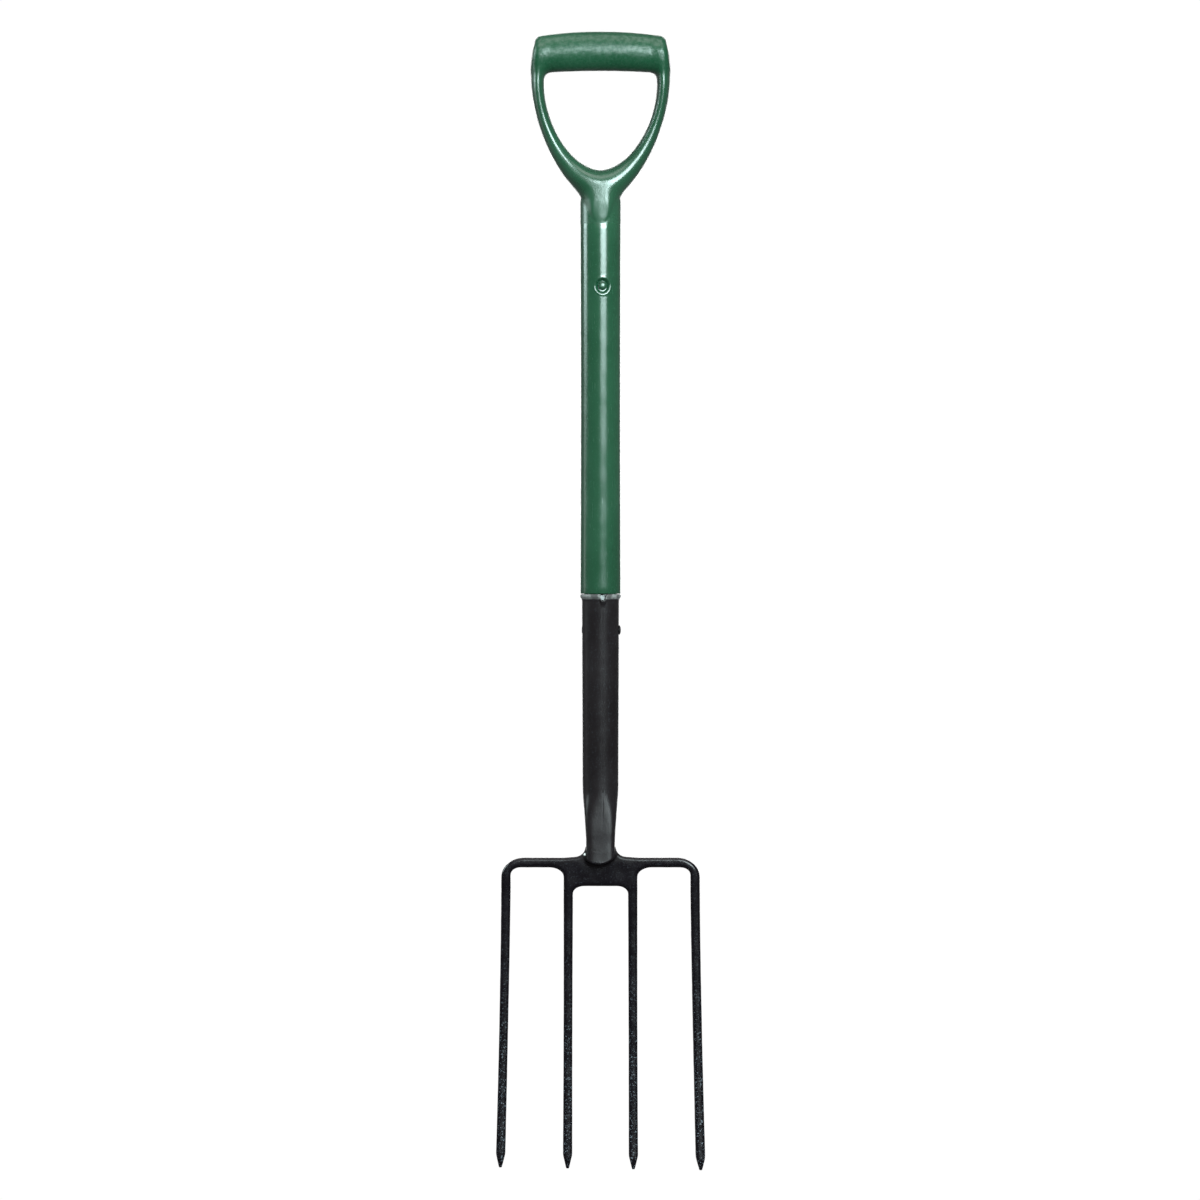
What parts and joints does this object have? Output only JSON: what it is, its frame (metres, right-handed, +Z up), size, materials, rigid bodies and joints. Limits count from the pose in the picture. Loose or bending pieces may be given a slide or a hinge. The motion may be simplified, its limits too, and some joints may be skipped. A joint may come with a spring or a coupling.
{
  "type": "garden fork",
  "caption": "Garden digging fork with a forged four-tine head, tubular socket, plastic-sleeved shaft and moulded D grip.",
  "frame": {"origin": "middle of the tool's footprint, at the level of the tines' points, with the tool standing upright", "axes": "+Z up the shaft towards the grip, tines down; -Y is the front, towards which the tines curve; +X to the right seen from the front"},
  "size_m": [0.1882, 0.0482, 1.0244],
  "materials": {
    "green_plastic": "glossy moulded polypropylene, deep green",
    "green_paint": "gloss green over steel",
    "black_paint": "semi-gloss black lacquer over rolled steel",
    "head_paint": "semi-gloss black lacquer over forged steel",
    "bare_steel": "bright drawn steel"
  },
  "bodies": {
    "root": {"d_grip": "green_plastic", "shaft_sleeve": "green_plastic", "shaft_tube": "bare_steel", "grip_rivet": "green_paint", "grip_rivet_burr": "bare_steel", "socket": "black_paint", "socket_rivet": "black_paint", "fork_head": "head_paint"}
  },
  "joints": []
}
